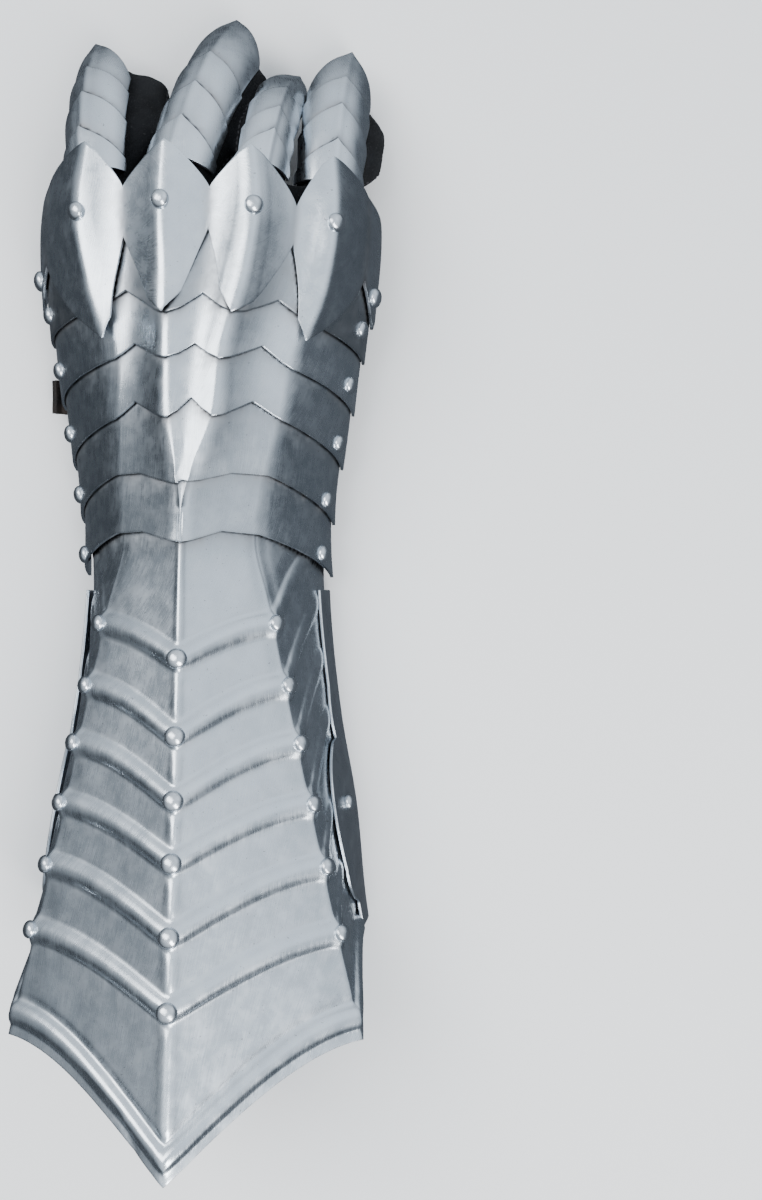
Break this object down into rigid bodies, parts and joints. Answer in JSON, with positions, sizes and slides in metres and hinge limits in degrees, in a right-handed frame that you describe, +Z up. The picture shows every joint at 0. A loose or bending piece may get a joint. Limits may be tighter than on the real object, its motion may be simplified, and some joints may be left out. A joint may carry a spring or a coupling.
{
  "type": "armoured gauntlet",
  "caption": "Right-hand plate gauntlet: fluted flared cuff, sliding lames, pointed knuckle plate and finger scales riveted over a black cloth glove, lying palm down.",
  "frame": {"origin": "on the flat rest face under the cuff's inner plate, below the cuff's ridge and near the wrist end of the cuff", "axes": "+Y towards the fingers, +X towards the little finger, +Z up through the back of the hand"},
  "size_m": [0.1341, 0.4242, 0.0986],
  "materials": {
    "plate_steel": "satin, hand brushed",
    "rivet_steel": "polished",
    "glove_cloth": "matt, napped",
    "strap_leather": "worn, matt"
  },
  "bodies": {
    "root": {"cuff_inner_plate": "plate_steel", "cuff_plate": "plate_steel", "glove_index": "glove_cloth", "glove_little": "glove_cloth", "glove_middle": "glove_cloth", "glove_palm": "glove_cloth", "glove_ring": "glove_cloth", "glove_thumb": "glove_cloth", "index_scale_1": "plate_steel", "index_scale_2": "plate_steel", "index_scale_3": "plate_steel", "index_scale_4": "plate_steel", "knuckle_plate": "plate_steel", "knuckle_rivet_1": "rivet_steel", "knuckle_rivet_2": "rivet_steel", "knuckle_rivet_3": "rivet_steel", "knuckle_rivet_4": "rivet_steel", "lame_1": "plate_steel", "lame_2": "plate_steel", "lame_3": "plate_steel", "lame_4": "plate_steel", "lame_5": "plate_steel", "little_scale_1": "plate_steel", "little_scale_2": "plate_steel", "little_scale_3": "plate_steel", "little_scale_4": "plate_steel", "middle_scale_1": "plate_steel", "middle_scale_2": "plate_steel", "middle_scale_3": "plate_steel", "middle_scale_4": "plate_steel", "ring_scale_1": "plate_steel", "ring_scale_2": "plate_steel", "ring_scale_3": "plate_steel", "ring_scale_4": "plate_steel", "rivet_left_1": "rivet_steel", "rivet_left_2": "rivet_steel", "rivet_left_3": "rivet_steel", "rivet_left_4": "rivet_steel", "rivet_left_5": "rivet_steel", "rivet_left_6": "rivet_steel", "rivet_ridge_1": "rivet_steel", "rivet_ridge_2": "rivet_steel", "rivet_ridge_3": "rivet_steel", "rivet_ridge_4": "rivet_steel", "rivet_ridge_5": "rivet_steel", "rivet_ridge_6": "rivet_steel", "rivet_right_1": "rivet_steel", "rivet_right_2": "rivet_steel", "rivet_right_3": "rivet_steel", "rivet_right_4": "rivet_steel", "rivet_right_5": "rivet_steel", "rivet_right_6": "rivet_steel", "thumb_base_plate": "plate_steel", "thumb_middle_scale": "plate_steel", "thumb_strap": "strap_leather", "thumb_tip_scale": "plate_steel"}
  },
  "joints": []
}
